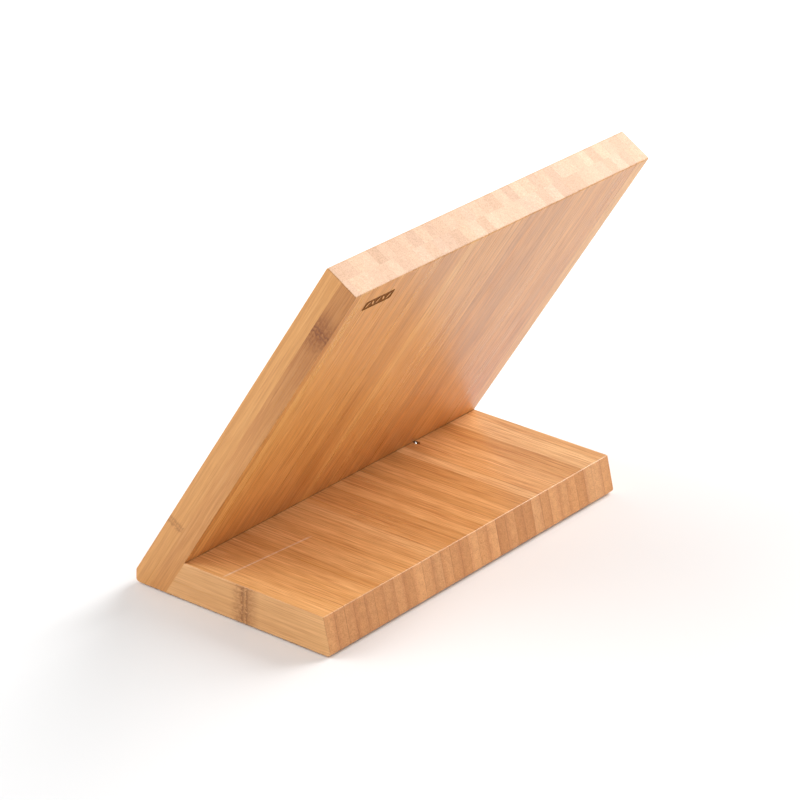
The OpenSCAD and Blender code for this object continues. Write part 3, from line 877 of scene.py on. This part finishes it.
def moulded_silicone():
    """Translucent moulded silicone: cloudy pale grey, soft matt skin with a fine mould texture."""
    material, node, surface = new_material("moulded_silicone")
    place = node("ShaderNodeTexCoord").outputs["Object"]
    cloud = node("noise", {"Vector": place, "Scale": 1 / (4 * MM), "Detail": 2.0})
    colour = node("mix colour", {0: cloud, 6: linear("#cfcdc6"), 7: linear("#e2e0da")}).outputs[2]
    pebble = node("noise", {"Vector": place, "Scale": 1 / (0.25 * MM), "Detail": 1.0})
    rough = node("fade", (pebble, 0.3, 0.7, 0.48, 0.62))
    bump = node("ShaderNodeBump", {"Height": pebble, "Distance": 0.02 * MM})
    feed(surface, base_color=colour, roughness=rough, normal=bump, subsurface_weight=0.15,
         subsurface_radius=(2 * MM, 2 * MM, 2 * MM))
    return material


def studio_paper():
    """Seamless white background paper: plain and matt."""
    material, node, surface = new_material("studio_paper")
    feed(surface, base_color=linear("#f3f3f3"), roughness=0.9)
    return material


# ---------------------------------------------------------------- the block

# The board's end grain colour, #f3ccae, is a painted highlight on the top end, which faces the overhead
# light. The base's end grain colour, #d28a4e, is its own tone.
board_bamboo = side_pressed_bamboo("side_pressed_bamboo_board", LEAN, TOE, SEAM_ON_BOARD - TOE, -1.0,
                                   BOARD_TONES, "#f3ccae", 0.08, 0.48, 0.0)
base_bamboo = side_pressed_bamboo("side_pressed_bamboo_base", 0, 0, SEAM_ON_BASE, 1.0,
                                  BASE_TONES, "#d28a4e", 0.75, 0.46, 0.9)
char = laser_charred_bamboo()

tree = panel_tree()


def culm_luck(place):
    """The luck that puts a strip's culm joint at a place along its grain."""
    return (0.5 - place / CULM_SPACING) % 1.0


# Each panel's strip width, stagger and seed, and the luck of its outer strip on the +X side
front_panel = pressed_panel("front_ply", tree, BOARD_STRIP, 0.0, 11,
                            (0.64, culm_luck(49 * MM), 0.05), board_bamboo)
rear_panel = pressed_panel("rear_ply", tree, BOARD_STRIP, 0.42, 23,
                           (0.11, culm_luck(201 * MM), 0.95), board_bamboo)
base_panel = pressed_panel("base_board", tree, BASE_STRIP, 0.0, 37,
                           (0.62, culm_luck(4 * MM), 0.55), base_bamboo)

# The brad: a domed head, a shank and a point, driven in at a slant
brad_low, brad_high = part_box("brad")
brad_out = Vector((0, brad_high.y - brad_low.y, brad_high.z - brad_low.z)).normalized()
brad_points = cad_vertices("brad") @ np.array(brad_out)
brad_head = (brad_high.x - brad_low.x) / 2
brad_middle = (brad_low + brad_high) / 2
brad_middle -= brad_out * (brad_middle.dot(brad_out) - (brad_points.max() + brad_points.min()) / 2)
brad_length = brad_points.max() - brad_points.min()
brad_top = brad_middle + brad_out * brad_length / 2
wire = plated_steel("bright_drawn_wire", "#b4b2ad", "#84827e", 0.3, 0.1)
dome = [(brad_head * math.sin(a), -brad_head * BRAD_DOME * (1 - math.cos(a)))
        for a in np.linspace(0, math.pi / 2, DOME_STEPS)]
shank = brad_head * BRAD_SHANK
brad_profile = [*dome, (shank, -brad_head * 0.8), (shank, -brad_length * 0.9), (0, -brad_length)]
brad = turned("brad_domed", brad_profile, brad_top, brad_out, wire)
finish_edges(brad)
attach(brad, "root")
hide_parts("brad")

silicone = moulded_silicone()
rubber = foot_tree()
for foot in sorted(n for n in frame["nodes"] if n.startswith("foot_")):
    low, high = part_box(foot)
    centre = Vector(((low.x + high.x) / 2, (low.y + high.y) / 2, low.z))
    radius = (high.x - low.x) / 2
    ribbed = run_tree(foot + "_ribbed", bpy.data.meshes.new(foot), rubber, {
        "Place": centre,
        "Radius": radius,
        "Height": high.z - low.z,
        "Edge radius": FOOT_EDGE,
        "Ribs": FOOT_RIBS,
        "Rib depth": FOOT_RIB_DEPTH,
        "Finish": silicone,
    })
    finish_edges(ribbed)
    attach(ribbed, "root")
    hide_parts(foot)
brad_hole = round_cutter(brad_top - brad_out * BRAD_HOLE_DEPTH, brad_out, brad_head + BRAD_HEAD_GAP,
                         2 * BRAD_HOLE_DEPTH, base_bamboo)
cut_away(base_panel, [hollow_cutter("base_board", base_bamboo), brad_hole])
cut_away(rear_panel, [hollow_cutter("rear_ply", board_bamboo), mark_cutter(char)])
cut_away(front_panel, [hollow_cutter("front_ply", board_bamboo)])

for piece, node in ((front_panel, "front_ply"), (rear_panel, "rear_ply"), (base_panel, "base_board")):
    finish_edges(piece)
    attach(piece, "root")
    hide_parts(node)

finishes = {
    "magnets": plated_steel("nickel_plated_magnet", "#c9c7c2", "#a9a7a3", 0.28, 0.4),
    "keeper": plated_steel("zinc_plated_bar", "#b9bcc0", "#979ba1", 0.38, 0.15),
    "joint_screws": plated_steel("yellow_zinc_screw", "#d9bf6a", "#b89a48", 0.32, 0.2),
    "joint_dowels": turned_beech(),
}
for name, part in frame["nodes"].items():
    for start, finish in finishes.items():
        if name.startswith(start):
            part.data.materials.clear()
            part.data.materials.append(finish)

# ---------------------------------------------------------------- floor, light and camera

floor_mesh = bpy.data.meshes.new("floor")
reach = FLOOR_REACH
floor_mesh.from_pydata([(-reach, -reach, 0), (reach, -reach, 0), (reach, reach, 0), (-reach, reach, 0)], [],
                       [(0, 1, 2, 3)])
floor = new_object("floor", floor_mesh, studio_paper())
floor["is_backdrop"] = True

world = bpy.data.worlds.new("studio")
bpy.context.scene.world = world
world.use_nodes = True
world.node_tree.nodes["Background"].inputs[0].default_value = linear("#ffffff")
world.node_tree.nodes["Background"].inputs[1].default_value = SURROUND


def softbox(name, direction, power):
    """A square soft white light in a direction from the block, aimed at it."""
    lamp = bpy.data.lights.new(name, "AREA")
    lamp.size = LIGHT_SIZE
    lamp.energy = power
    holder = bpy.data.objects.new(name, lamp)
    bpy.context.scene.collection.objects.link(holder)
    holder.location = Vector(direction).normalized() * LIGHT_DISTANCE + Vector((0, 0, 0.1))
    holder.rotation_euler = Vector(direction).to_track_quat("Z", "Y").to_euler()


softbox("window", (-1, 0.2, 0.5), 98)
softbox("fill", (0.7, -0.7, 0.6), 41)
softbox("front", (0, -1, 0.6), 10)

scene = bpy.context.scene
scene.view_settings.view_transform = "Standard"
lens = bpy.data.cameras.new("camera")
camera = bpy.data.objects.new("camera", lens)
scene.collection.objects.link(camera)
scene.camera = camera
lens.lens = CAMERA_LENS
lens.sensor_width = 36.0
lens.clip_end = 50.0
azimuth, elevation, roll = map(math.radians, (CAMERA_AZIMUTH, CAMERA_ELEVATION, CAMERA_ROLL))
back = Vector((math.sin(azimuth) * math.cos(elevation), -math.cos(azimuth) * math.cos(elevation),
               math.sin(elevation)))
right = Vector((0, 0, 1)).cross(back).normalized()
above = back.cross(right)
right, above = (right * math.cos(roll) + above * math.sin(roll),
                above * math.cos(roll) - right * math.sin(roll))
aim = TOE_POINT + AIM_FROM_TOE
spot = aim + back * CAMERA_DISTANCE - right * CAMERA_SIDESTEP.x - above * CAMERA_SIDESTEP.y
camera.matrix_world = Matrix((
    (right.x, above.x, back.x, spot.x),
    (right.y, above.y, back.y, spot.y),
    (right.z, above.z, back.z, spot.z),
    (0, 0, 0, 1),
))

bpy.context.view_layer.update()
low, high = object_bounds()
